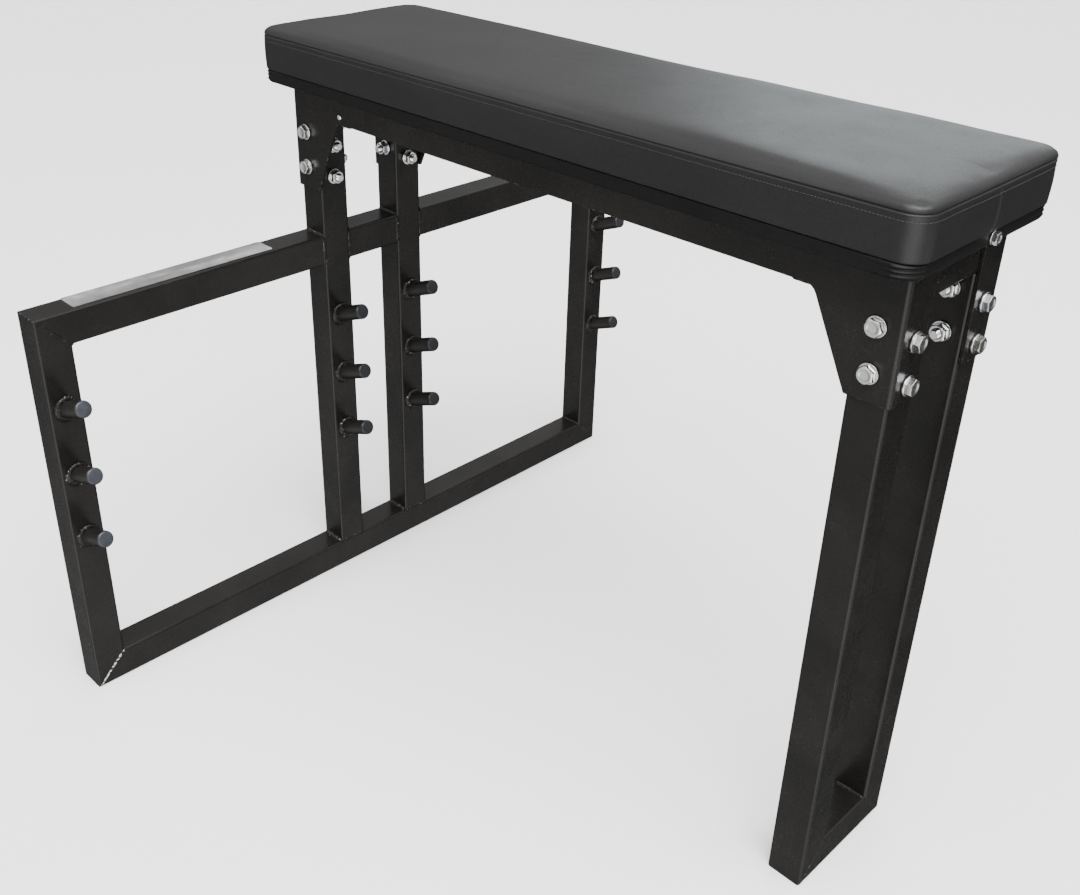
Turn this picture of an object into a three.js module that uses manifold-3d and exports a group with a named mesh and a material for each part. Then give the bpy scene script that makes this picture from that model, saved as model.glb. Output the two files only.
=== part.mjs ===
// Prone-row bench: a long padded top on a wide rack frame at one end and a narrow leg frame at the other.
// Units are millimetres. X runs along the bench towards the narrow leg frame, Y across it, Z up,
// and the origin is on the floor under the middle of the bench.
import * as THREE from 'three';
import { mergeVertices } from 'three/addons/utils/BufferGeometryUtils.js';
import Module from 'manifold-3d';

const wasm = await Module();
wasm.setup();

// ---- driving dimensions -------------------------------------------------------------------------
const CLEAR = 0.3;              // gap left between pieces that touch
const TUBE = 50;                // square tube, outside
const WALL = 3;                 // tube wall
const CORNER = 4;               // outer corner radius of the tube
const HALF = TUBE / 2;
const MITRE_CLEAR = CLEAR / Math.SQRT2;

const RACK_X = -497;            // centre plane of the rack frame
const RACK_WIDTH = 1170;        // over the outer uprights
const RACK_TOP = 640;           // top of the rack's upper rail
const LEG_X = 488;              // centre plane of the narrow leg frame
const PAIR_Y = 75.5;            // centre of the two middle uprights, and of the leg's two uprights
const PAIR_OUT = PAIR_Y + HALF; // outer face of those uprights
const PAIR_IN = PAIR_Y - HALF;

const SEAT_LOW = 834;           // underside of the seat frame
const SEAT_TOP = SEAT_LOW + TUBE;
const PLATE = 4;                // side plate thickness
const PLATE_BEND = 6;           // outer radius of the plate's end bends
const FLANGE_EDGE = PAIR_IN + 1.5;              // the end flanges reach in to this distance from the middle
const GUSSET_LOW = { rear: 716, front: 725 };   // lowest edges of the gussets
const GUSSET_FOOT = 1;          // the gusset's foot stands this far past the upright
const GUSSET_REACH = 55;        // and its top this far, where it meets the long edge
const GUSSET_ROUND = 10;        // rounding where the gusset runs into the long edge
const CROSS_REACH = 99.2;       // half length of the end cross members, clear of the plates' inner bends
const MID_CROSS_REACH = 405;    // the other two cross members stand this far from the seat frame's middle

const PEG_DIAMETER = 25;
const PEG_LENGTH = 64;          // along its own axis, from the upright's face
const PEG_TILT = THREE.MathUtils.degToRad(22);
const PEG_HEIGHTS = [281, 389, 497];
const PEG_CHAMFER = 2;

const BOLT_D = 12, BOLT_HOLE = 12.8, HEX_FLATS = 18.5, HEAD_HIGH = 7.5, NUT_HIGH = 10;
const WASHER_D = 24, WASHER_THICK = 2.5, THREAD_PAST = 6;
// Bolts across the bench go through side plate and upright, bolts along it through end flange and upright.
const SIDE_BOLT_Z = { rear: [750, 805], front: [758.5, 812.5] };
const END_BOLT_Z = { rear: [734.5, 784.5], front: [745, 796] };

const SCREW_D = 8, SCREW_HOLE = 8.8, SCREW_FLATS = 13, SCREW_HEAD = 5.5;
const SCREW_WASHER_D = 16, SCREW_WASHER_THICK = 1.6, SCREW_POINT = 1.5;
const SCREW_Y = 60, SCREW_BITE = 12;                // pad screws: place across the bench, depth in the board
const END_SCREW_Y = 13, END_SCREW_DEPTH = 30;       // the screw in the front edge of the board
const PLATE_SCREW = { z: 845, d: 5, hole: 5.8, head: 9, headHigh: 3, flats: 8, nutHigh: 4, past: 3 };

const BOARD_THICK = 18, BOARD_LONG = 1075, BOARD_WIDE = 300, BOARD_CORNER = 25;
const CUSHION_LONG = 1090, CUSHION_WIDE = 308, CUSHION_CORNER = 28, CUSHION_TOP = 968;
const CUSHION_EASE = 12;            // rounding of the cushion's top edge

const LABEL = { long: 330, wide: 40, thick: 1, x: -499, y: -358, corner: 3 };

// ---- finishes -----------------------------------------------------------------------------------
const finishes = {
  paint: { color: 0x17171a, roughness: 0.32, metalness: 0.0 },
  zinc: { color: 0xc9ccd0, roughness: 0.28, metalness: 1.0 },
  label: { color: 0xb4b6b8, roughness: 0.35, metalness: 1.0 },
  board: { color: 0x1a1a1b, roughness: 0.5, metalness: 0.0 },
  vinyl: { color: 0x1d1d1f, roughness: 0.42, metalness: 0.0 },
};

const bench = new THREE.Group();

function addMesh(name, geometry, finish, parent = bench) {
  const mesh = new THREE.Mesh(geometry, new THREE.MeshStandardMaterial(finishes[finish]));
  mesh.name = name;
  parent.add(mesh);
  return mesh;
}

// ---- solids -------------------------------------------------------------------------------------
function toSolid(geometry) {
  const bare = new THREE.BufferGeometry();
  bare.setAttribute('position', geometry.getAttribute('position').clone());
  if (geometry.index) bare.setIndex(geometry.index.clone());
  const merged = mergeVertices(bare, 1e-4);
  return new wasm.Manifold(new wasm.Mesh({
    numProp: 3,
    vertProperties: new Float32Array(merged.getAttribute('position').array),
    triVerts: new Uint32Array(merged.index.array),
  }));
}

function toGeometry(solid) {
  const mesh = solid.getMesh();
  const geometry = new THREE.BufferGeometry();
  geometry.setAttribute('position', new THREE.BufferAttribute(new Float32Array(mesh.vertProperties), 3));
  geometry.setIndex(new THREE.BufferAttribute(new Uint32Array(mesh.triVerts), 1));
  geometry.computeVertexNormals();
  return geometry;
}

function subtractAll(geometry, cutters) {
  let solid = toSolid(geometry);
  for (const cutter of cutters) solid = solid.subtract(toSolid(cutter));
  return toGeometry(solid);
}

// A drill of the given diameter through a point, along x, y or z. The long one goes through a whole tube,
// the short one through a plate.
const LONG_DRILL = 90, SHORT_DRILL = 30;

function drill(axis, point, diameter, length = LONG_DRILL) {
  const geometry = new THREE.CylinderGeometry(diameter / 2, diameter / 2, length, 12);
  if (axis === 'x') geometry.rotateZ(Math.PI / 2);
  if (axis === 'z') geometry.rotateX(Math.PI / 2);
  return geometry.translate(...point);
}

function roundedRectangle(wide, high, radius) {
  const x = wide / 2, y = high / 2, quarter = Math.PI / 2;
  const shape = new THREE.Shape();
  shape.absarc(x - radius, y - radius, radius, 0, quarter);
  shape.absarc(-x + radius, y - radius, radius, quarter, 2 * quarter);
  shape.absarc(-x + radius, -y + radius, radius, 2 * quarter, 3 * quarter);
  shape.absarc(x - radius, -y + radius, radius, 3 * quarter, 4 * quarter);
  shape.closePath();
  return shape;
}

function extrude(shape, depth, curveSegments) {
  return new THREE.ExtrudeGeometry(shape, { depth, bevelEnabled: false, curveSegments });
}

// Square tube along local Z between two cut planes. A lean of 1 or -1 makes that end a mitre:
// its cut plane rises or falls with local y.
function tube(from, to, leanFrom = 0, leanTo = 0) {
  const section = roundedRectangle(TUBE, TUBE, CORNER);
  const inner = HALF - WALL;
  const bore = new THREE.Path();
  bore.moveTo(-inner, -inner);
  bore.lineTo(-inner, inner);
  bore.lineTo(inner, inner);
  bore.lineTo(inner, -inner);
  bore.closePath();
  section.holes.push(bore);
  const geometry = extrude(section, to - from, 4);
  const position = geometry.getAttribute('position');
  for (let i = 0; i < position.count; i++) {
    const y = position.getY(i), atEnd = position.getZ(i) > (to - from) / 2;
    position.setZ(i, atEnd ? to + leanTo * y : from + leanFrom * y);
  }
  geometry.computeVertexNormals();
  return geometry;
}

// Turns a solid made along local Z to lie along world Y; its local y then points down.
function layAcross(mesh, x, z) {
  mesh.rotation.x = -Math.PI / 2;
  mesh.position.set(x, 0, z);
  return mesh;
}

// ---- rack frame ---------------------------------------------------------------------------------
const rackEnd = RACK_WIDTH / 2 - HALF;      // centre plane of the outer uprights
const pairPlus = PAIR_OUT + CLEAR;

const topRailZ = RACK_TOP - HALF;

for (const [name, z, ...cut] of [
  ['rack_bottom_rail', HALF, -rackEnd, rackEnd, -1, 1],
  ['rack_top_rail_left', topRailZ, -rackEnd, -pairPlus, 1, 0],
  ['rack_top_rail_middle', topRailZ, -PAIR_IN + CLEAR, PAIR_IN - CLEAR],
  ['rack_top_rail_right', topRailZ, pairPlus, rackEnd, 0, -1],
]) {
  layAcross(addMesh(name, tube(...cut), 'paint'), RACK_X, z);
}

for (const [side, sign] of [['left', -1], ['right', 1]]) {
  const outer = tube(HALF + MITRE_CLEAR, topRailZ - MITRE_CLEAR, -sign, sign);
  addMesh(`rack_outer_upright_${side}`, outer, 'paint').position.set(RACK_X, sign * rackEnd, 0);
}

// ---- middle uprights and leg uprights, drilled for their bolts ----------------------------------
function drilledUpright(end, from, leanFrom) {
  const cutters = [
    ...SIDE_BOLT_Z[end].map((z) => drill('y', [0, 0, z], BOLT_HOLE)),
    ...END_BOLT_Z[end].map((z) => drill('x', [0, 0, z], BOLT_HOLE)),
  ];
  return subtractAll(tube(from, SEAT_LOW - CLEAR, leanFrom, 0), cutters);
}

for (const [side, sign] of [['left', -1], ['right', 1]]) {
  addMesh(`rack_inner_upright_${side}`, drilledUpright('rear', TUBE + CLEAR, 0), 'paint')
    .position.set(RACK_X, sign * PAIR_Y, 0);
  addMesh(`leg_upright_${side}`, drilledUpright('front', HALF + MITRE_CLEAR, -sign), 'paint')
    .position.set(LEG_X, sign * PAIR_Y, 0);
}
layAcross(addMesh('leg_foot_rail', tube(-PAIR_Y, PAIR_Y, -1, 1), 'paint'), LEG_X, HALF);

// ---- bar pegs -----------------------------------------------------------------------------------
// The peg's root is cut upright, to stand against the face of its tube.
function peg() {
  const radius = PEG_DIAMETER / 2;
  const profile = [
    [0, 0], [radius, 0],
    [radius, PEG_LENGTH - PEG_CHAMFER], [radius - PEG_CHAMFER, PEG_LENGTH], [0, PEG_LENGTH],
  ];
  const geometry = new THREE.LatheGeometry(profile.map(([x, y]) => new THREE.Vector2(x, y)), 16);
  geometry.rotateZ(-Math.PI / 2 + PEG_TILT);
  const position = geometry.getAttribute('position');
  const along = new THREE.Vector3(Math.cos(PEG_TILT), Math.sin(PEG_TILT), 0);
  const point = new THREE.Vector3();
  for (let i = 0; i < position.count; i++) {
    point.fromBufferAttribute(position, i);
    if (point.dot(along) > PEG_LENGTH / 4) continue;
    point.addScaledVector(along, -point.x / along.x);
    position.setXYZ(i, point.x, point.y, point.z);
  }
  geometry.rotateX(Math.PI / 2);
  return geometry;
}

const pegColumns = [
  ['outer_left', -rackEnd], ['inner_left', -PAIR_Y], ['inner_right', PAIR_Y], ['outer_right', rackEnd],
];
const pegLevels = ['low', 'middle', 'high'];
for (const [column, y] of pegColumns) {
  PEG_HEIGHTS.forEach((z, level) => {
    addMesh(`peg_${column}_${pegLevels[level]}`, peg(), 'paint').position.set(RACK_X + HALF + CLEAR, y, z);
  });
}

// ---- seat frame ---------------------------------------------------------------------------------
const rearFace = RACK_X - HALF - CLEAR;     // inner faces of the plates' end flanges
const frontFace = LEG_X + HALF + CLEAR;

// Plan outline of a side plate: a long strip whose two ends bend inwards.
function platePlan(sign) {
  const outY = PAIR_OUT + CLEAR + PLATE, inner = PLATE_BEND - PLATE;
  const x0 = rearFace - PLATE, x1 = frontFace + PLATE;
  const points = [];
  const arc = (cx, cy, radius, start, end) => {
    for (let i = 0; i <= 6; i++) {
      const angle = start + (end - start) * i / 6;
      points.push([cx + radius * Math.cos(angle), cy + radius * Math.sin(angle)]);
    }
  };
  points.push([x1, FLANGE_EDGE]);
  arc(x1 - PLATE_BEND, outY - PLATE_BEND, PLATE_BEND, 0, Math.PI / 2);
  arc(x0 + PLATE_BEND, outY - PLATE_BEND, PLATE_BEND, Math.PI / 2, Math.PI);
  points.push([x0, FLANGE_EDGE], [x0 + PLATE, FLANGE_EDGE]);
  arc(x0 + PLATE_BEND, outY - PLATE_BEND, inner, Math.PI, Math.PI / 2);
  arc(x1 - PLATE_BEND, outY - PLATE_BEND, inner, Math.PI / 2, 0);
  points.push([x1 - PLATE, FLANGE_EDGE]);
  return new THREE.Shape(points.map(([x, y]) => new THREE.Vector2(x, sign * y)));
}

const seatMiddle = (RACK_X + LEG_X) / 2;
const midCrossX = [seatMiddle - MID_CROSS_REACH, seatMiddle + MID_CROSS_REACH];

function sidePlate(sign) {
  const lowest = GUSSET_LOW.rear, below = 5;
  const sheet = extrude(platePlan(sign), SEAT_TOP - lowest, 1);
  sheet.translate(0, 0, lowest);
  // everything under the long edge, between the two sloping gusset edges, is cut away
  const edge = (end, x) => {
    const slope = x * (GUSSET_REACH - GUSSET_FOOT) / (SEAT_LOW - GUSSET_LOW[end]);
    const root = end === 'rear' ? RACK_X + HALF : LEG_X - HALF;
    const top = root + x * GUSSET_REACH;
    return {
      low: [root + x * GUSSET_FOOT - slope * below, below - GUSSET_LOW[end]],
      bend: [top - slope * GUSSET_ROUND, GUSSET_ROUND - SEAT_LOW],
      corner: [top, -SEAT_LOW],
      run: [top + x * GUSSET_ROUND, -SEAT_LOW],
    };
  };
  const rear = edge('rear', 1), front = edge('front', -1);
  const window = new THREE.Shape();
  window.moveTo(...rear.low);
  window.lineTo(...front.low);
  window.lineTo(...front.bend);
  window.quadraticCurveTo(...front.corner, ...front.run);
  window.lineTo(...rear.run);
  window.quadraticCurveTo(...rear.corner, ...rear.bend);
  window.closePath();
  const throughPlate = 8 * PLATE;
  const opening = extrude(window, throughPlate, 4);
  opening.translate(0, 0, -throughPlate / 2);
  opening.rotateX(-Math.PI / 2);
  opening.translate(0, sign * (PAIR_OUT + PLATE / 2), 0);
  // the front gusset ends a little higher than the rear one
  const trimTall = 2 * (GUSSET_LOW.front - GUSSET_LOW.rear), trimLong = LEG_X - seatMiddle;
  const trim = new THREE.BoxGeometry(trimLong, 2 * TUBE, trimTall);
  trim.translate(LEG_X + TUBE - trimLong / 2, sign * PAIR_Y, GUSSET_LOW.front - trimTall / 2);
  const cutters = [opening, trim];
  for (const [end, x, face] of [['rear', RACK_X, rearFace], ['front', LEG_X, frontFace]]) {
    for (const z of SIDE_BOLT_Z[end]) {
      cutters.push(drill('y', [x, sign * PAIR_OUT, z], BOLT_HOLE, SHORT_DRILL));
    }
    for (const z of END_BOLT_Z[end]) {
      cutters.push(drill('x', [face, sign * PAIR_Y, z], BOLT_HOLE, SHORT_DRILL));
    }
  }
  cutters.push(drill('y', [midCrossX[0], sign * PAIR_OUT, PLATE_SCREW.z], PLATE_SCREW.hole, SHORT_DRILL));
  return subtractAll(sheet, cutters);
}

addMesh('seat_side_plate_left', sidePlate(-1), 'paint');
addMesh('seat_side_plate_right', sidePlate(1), 'paint');

const crossZ = SEAT_LOW + HALF;
for (const [end, x] of [['rear', RACK_X], ['front', LEG_X]]) {
  layAcross(addMesh(`seat_cross_member_${end}`, tube(-CROSS_REACH, CROSS_REACH), 'paint'), x, crossZ);
}
midCrossX.forEach((x, index) => {
  const holes = [-1, 1].map((sign) => drill('y', [0, 0, sign * SCREW_Y], SCREW_HOLE));
  const member = subtractAll(tube(-PAIR_OUT, PAIR_OUT), holes);
  layAcross(addMesh(`seat_cross_member_mid_${index + 1}`, member, 'paint'), x, crossZ);
});

// ---- bolts --------------------------------------------------------------------------------------
function hexagon(flats, height) {
  const geometry = new THREE.CylinderGeometry(flats / Math.sqrt(3), flats / Math.sqrt(3), height, 6);
  return geometry.rotateX(Math.PI / 2);
}

function roundBody(profile) {
  const geometry = new THREE.LatheGeometry(profile.map(([r, z]) => new THREE.Vector2(r, z)), 12);
  return geometry.rotateX(Math.PI / 2);
}

// Bolt, two washers and nut as they stand when tight. Local z runs from the head's face into the joint,
// z = 0 is the outer face under the head and z = grip the face under the nut.
function boltSet(grip) {
  const shank = BOLT_D / 2, rim = WASHER_D / 2;
  const under = -CLEAR - WASHER_THICK, nutFace = grip + CLEAR + WASHER_THICK;
  const tip = nutFace + NUT_HIGH + THREAD_PAST;
  const body = roundBody([
    [0, under - 1], [shank, under - 1], [shank, under], [rim, under], [rim, -CLEAR], [shank, -CLEAR],
    [shank, grip + CLEAR], [rim, grip + CLEAR], [rim, nutFace], [shank, nutFace],
    [shank, tip - 1], [shank - 1, tip], [0, tip],
  ]);
  const head = hexagon(HEX_FLATS, HEAD_HIGH + 1).translate(0, 0, under - HEAD_HIGH / 2 + 0.5);
  const nut = hexagon(HEX_FLATS, NUT_HIGH + 1).translate(0, 0, nutFace + NUT_HIGH / 2 - 0.5);
  return toGeometry(toSolid(body).add(toSolid(head)).add(toSolid(nut)));
}

const grip = TUBE + CLEAR + PLATE;
for (const [place, x, outward] of [['rear', RACK_X, -1], ['front', LEG_X, 1]]) {
  const flangeFace = x + outward * (HALF + CLEAR + PLATE);
  for (const [side, sign] of [['left', -1], ['right', 1]]) {
    const plateFace = sign * (PAIR_OUT + CLEAR + PLATE);
    SIDE_BOLT_Z[place].forEach((z, i) => {
      const bolt = addMesh(`side_bolt_${place}_${side}_${i + 1}`, boltSet(grip), 'zinc');
      bolt.rotation.x = sign * Math.PI / 2;
      bolt.position.set(x, plateFace, z);
    });
    END_BOLT_Z[place].forEach((z, i) => {
      const bolt = addMesh(`end_bolt_${place}_${side}_${i + 1}`, boltSet(grip), 'zinc');
      bolt.rotation.y = -outward * Math.PI / 2;
      bolt.position.set(flangeFace, sign * PAIR_Y, z);
    });
  }
}

// Small round-headed screw and its nut, through a side plate. Local z as for the bolts.
function plateScrew() {
  const { d, head, headHigh, flats, nutHigh, past } = PLATE_SCREW;
  const nutFace = PLATE + CLEAR, tip = nutFace + nutHigh + past, crown = -CLEAR - headHigh;
  const body = roundBody([
    [0, crown], [head / 4, crown], [0.42 * head, crown + headHigh / 3], [head / 2, -CLEAR], [d / 2, -CLEAR],
    [d / 2, tip], [0, tip],
  ]);
  const nut = hexagon(flats, nutHigh).translate(0, 0, nutFace + nutHigh / 2);
  return toGeometry(toSolid(body).add(toSolid(nut)));
}
for (const [side, sign] of [['left', -1], ['right', 1]]) {
  const screw = addMesh(`plate_screw_${side}`, plateScrew(), 'zinc');
  screw.rotation.x = sign * Math.PI / 2;
  screw.position.set(midCrossX[0], sign * (PAIR_OUT + CLEAR + PLATE), PLATE_SCREW.z);
}

// ---- bench top: upholstered board and cushion ---------------------------------------------------
const boardLow = SEAT_TOP + CLEAR;
const screwTop = boardLow + SCREW_BITE;
const screwPlaces = midCrossX.flatMap((x) => [[x, -SCREW_Y], [x, SCREW_Y]]);

// Hex screw and its washer. Local z runs from the head into the work, whose face is at z = 0.
function hexScrew(depth) {
  const shank = SCREW_D / 2, rim = SCREW_WASHER_D / 2;
  const face = -CLEAR - SCREW_WASHER_THICK;
  const body = roundBody([
    [0, face - 1], [shank, face - 1], [shank, face], [rim, face], [rim, -CLEAR], [shank, -CLEAR],
    [shank, depth - SCREW_POINT], [shank - SCREW_POINT, depth], [0, depth],
  ]);
  const head = hexagon(SCREW_FLATS, SCREW_HEAD + 1).translate(0, 0, face - SCREW_HEAD / 2 + 0.5);
  return toGeometry(toSolid(body).add(toSolid(head)));
}
screwPlaces.forEach(([x, y], i) => {
  addMesh(`pad_screw_${i + 1}`, hexScrew(screwTop - SEAT_LOW), 'zinc').position.set(x, y, SEAT_LOW);
});
const boardMiddle = boardLow + BOARD_THICK / 2, boardFront = BOARD_LONG / 2;
const endScrew = addMesh('pad_end_bolt', hexScrew(END_SCREW_DEPTH), 'zinc');
endScrew.rotation.y = -Math.PI / 2;
endScrew.position.set(boardFront, END_SCREW_Y, boardMiddle);

const boardShape = roundedRectangle(BOARD_LONG, BOARD_WIDE, BOARD_CORNER);
const boardBlank = extrude(boardShape, BOARD_THICK, 3).translate(0, 0, boardLow);
const screwHoles = screwPlaces.map(([x, y]) => {
  return drill('z', [x, y, boardLow], SCREW_HOLE, 2 * (SCREW_BITE + 1));
});
screwHoles.push(drill('x', [boardFront, END_SCREW_Y, boardMiddle], SCREW_HOLE, 2 * (END_SCREW_DEPTH + 1)));
addMesh('pad_board', subtractAll(boardBlank, screwHoles), 'board');

const cushionLow = boardLow + BOARD_THICK + CLEAR;
const cushionSpan = CUSHION_TOP - CUSHION_EASE - cushionLow;
const cushionShape = roundedRectangle(CUSHION_LONG, CUSHION_WIDE, CUSHION_CORNER);
const cushionSlab = extrude(cushionShape, cushionSpan, 3).translate(0, 0, cushionLow);
// The cushion's rounded top edge is the upper half of a slab that is eased all round.
const easedBy = 2 * CUSHION_EASE, coreThick = 2;
const core = roundedRectangle(CUSHION_LONG - easedBy, CUSHION_WIDE - easedBy, CUSHION_CORNER - CUSHION_EASE);
const crown = new THREE.ExtrudeGeometry(core, {
  depth: coreThick, bevelEnabled: true, bevelThickness: CUSHION_EASE, bevelSize: CUSHION_EASE,
  bevelSegments: 3, curveSegments: 3,
});
crown.translate(0, 0, CUSHION_TOP - CUSHION_EASE - coreThick);
addMesh('pad_cushion', toGeometry(toSolid(cushionSlab).add(toSolid(crown))), 'vinyl');

// ---- blank label plate on the rack's upper rail -------------------------------------------------
const labelShape = roundedRectangle(LABEL.wide, LABEL.long, LABEL.corner);
const label = addMesh('label_plate', extrude(labelShape, LABEL.thick, 2), 'label');
label.position.set(LABEL.x, LABEL.y, RACK_TOP + CLEAR);

export default bench;
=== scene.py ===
"""Looks of the prone-row bench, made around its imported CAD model.

Metres, +Z up. X runs along the bench to the narrow leg frame, Y across it, origin on the floor.
"""
from math import copysign, cos, exp, pi, radians, sin, sqrt, tan

import bpy
import numpy as np
from mathutils import Matrix, Vector, noise
from mathutils.bvhtree import BVHTree


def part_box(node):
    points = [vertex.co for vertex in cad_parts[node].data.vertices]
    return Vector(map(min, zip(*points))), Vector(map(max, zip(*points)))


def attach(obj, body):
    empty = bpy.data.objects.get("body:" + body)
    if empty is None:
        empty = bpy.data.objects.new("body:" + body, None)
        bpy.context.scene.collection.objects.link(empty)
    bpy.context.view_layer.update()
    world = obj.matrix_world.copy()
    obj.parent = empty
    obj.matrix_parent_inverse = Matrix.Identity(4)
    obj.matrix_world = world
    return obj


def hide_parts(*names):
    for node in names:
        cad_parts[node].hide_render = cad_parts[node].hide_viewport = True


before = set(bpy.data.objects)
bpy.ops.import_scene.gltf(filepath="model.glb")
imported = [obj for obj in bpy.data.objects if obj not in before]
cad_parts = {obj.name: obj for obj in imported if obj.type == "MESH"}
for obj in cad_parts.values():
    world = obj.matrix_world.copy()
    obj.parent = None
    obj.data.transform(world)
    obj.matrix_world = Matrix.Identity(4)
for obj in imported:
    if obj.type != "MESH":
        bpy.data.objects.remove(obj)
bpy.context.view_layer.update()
scene = bpy.context.scene
MM = 0.001
FULL_TURN = 2 * pi
PEG_TILT = radians(22)
PEG_WAY = (cos(PEG_TILT), 0.0, sin(PEG_TILT))

# ---- camera
CAMERA_PLACE = (1.0188, -1.1644, 1.3270)
CAMERA_TURN = (62.178, -0.842, 45.736)      # pitch, roll and heading, in degrees
CAMERA_LENS = 40.14
CAMERA_SHIFT = (0.0321, -0.0557)


def make_camera():
    data = bpy.data.cameras.new("camera")
    data.sensor_width = 36
    data.lens = CAMERA_LENS
    data.shift_x, data.shift_y = CAMERA_SHIFT
    data.clip_start, data.clip_end = 0.02, 100
    camera = bpy.data.objects.new("camera", data)
    camera.location = CAMERA_PLACE
    camera.rotation_euler = [radians(angle) for angle in CAMERA_TURN]
    scene.collection.objects.link(camera)
    scene.camera = camera


make_camera()


# ---- material graphs
MIX_FACTOR, MIX_FIRST, MIX_SECOND, MIX_COLOUR = 0, 6, 7, 2      # the Mix node's sockets for colours
BEVEL_SAMPLES = 6


class Graph:
    """A material under construction. Texture coordinates are object coordinates, which are metres."""

    def __init__(self, name):
        self.material = bpy.data.materials.new(name)
        self.material.use_nodes = True
        self.tree = self.material.node_tree
        self.tree.nodes.clear()
        self.place = self.add("TexCoord").outputs["Object"]

    def add(self, kind, settings=None, **inputs):
        made = self.tree.nodes.new("ShaderNode" + kind)
        for key, value in (settings or {}).items():
            setattr(made, key, value)
        for key, value in inputs.items():
            self.feed(made.inputs[key.replace("_", " ")], value)
        return made

    def feed(self, socket, value):
        if isinstance(value, bpy.types.NodeSocket):
            self.tree.links.new(value, socket)
        else:
            socket.default_value = value

    def maths(self, operation, *values):
        made = self.add("Math", {"operation": operation})
        for socket, value in zip(made.inputs, values):
            self.feed(socket, value)
        return made.outputs[0]

    def noise(self, scale, detail=3.0, roughness=0.5, place=None):
        where = place or self.place
        made = self.add("TexNoise", Vector=where, Scale=scale, Detail=detail, Roughness=roughness)
        return made.outputs[0]

    def cells(self, scale, feature, place=None, randomness=1.0):
        where = place or self.place
        made = self.add("TexVoronoi", {"feature": feature}, Vector=where, Scale=scale, Randomness=randomness)
        return made.outputs["Distance"]

    def stretched(self, scale):
        """Object coordinates scaled along each axis, for brushed marks."""
        return self.add("Mapping", Vector=self.place, Scale=scale).outputs[0]

    def dot(self, first, second):
        made = self.add("VectorMath", {"operation": "DOT_PRODUCT"})
        self.feed(made.inputs[0], first)
        self.feed(made.inputs[1], second)
        return made.outputs["Value"]

    def rounded(self, radius):
        """The normal of the surface, with its edges rounded to the radius."""
        return self.add("Bevel", {"samples": BEVEL_SAMPLES}, Radius=radius).outputs[0]

    def span(self, value, low, high, to_low=0.0, to_high=1.0):
        made = self.add("MapRange", Value=value)
        for key, number in zip(("From Min", "From Max", "To Min", "To Max"), (low, high, to_low, to_high)):
            made.inputs[key].default_value = number
        return made.outputs[0]

    def blend(self, factor, first, second):
        made = self.add("Mix", {"data_type": "RGBA"})
        for index, value in ((MIX_FACTOR, factor), (MIX_FIRST, first), (MIX_SECOND, second)):
            self.feed(made.inputs[index], value)
        return made.outputs[MIX_COLOUR]

    def bump(self, height, distance, strength, normal=None):
        made = self.add("Bump", Height=height, Distance=distance, Strength=strength)
        if normal is not None:
            self.feed(made.inputs["Normal"], normal)
        return made.outputs[0]

    def finish(self, colour, roughness, normal, **constants):
        shader = self.add("BsdfPrincipled", Base_Color=colour, Roughness=roughness, Normal=normal)
        for key, value in constants.items():
            shader.inputs[key.replace("_", " ")].default_value = value
        output = self.add("OutputMaterial")
        self.tree.links.new(shader.outputs[0], output.inputs[0])
        return self.material


def grey(level, tint=0.0):
    """A neutral colour, a little warmer for a positive tint and cooler for a negative one."""
    return (level * (1 + tint), level, level * (1 - tint), 1.0)


def edge_mask(graph, normal, radius):
    """About 1 where the surface turns a corner, 0 on the flat."""
    turned = graph.maths("SUBTRACT", 1.0, graph.dot(graph.rounded(radius), normal))
    return graph.span(turned, 0.01, 0.12)


PAINT_BLACK = (0.0052, 0.0088)      # darkest and lightest level of the paint
PAINT_ROUGHNESS = (0.20, 0.36)
BARE_METAL, DUST = 0.42, 0.35       # levels where the paint is worn through, and of dust


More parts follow.
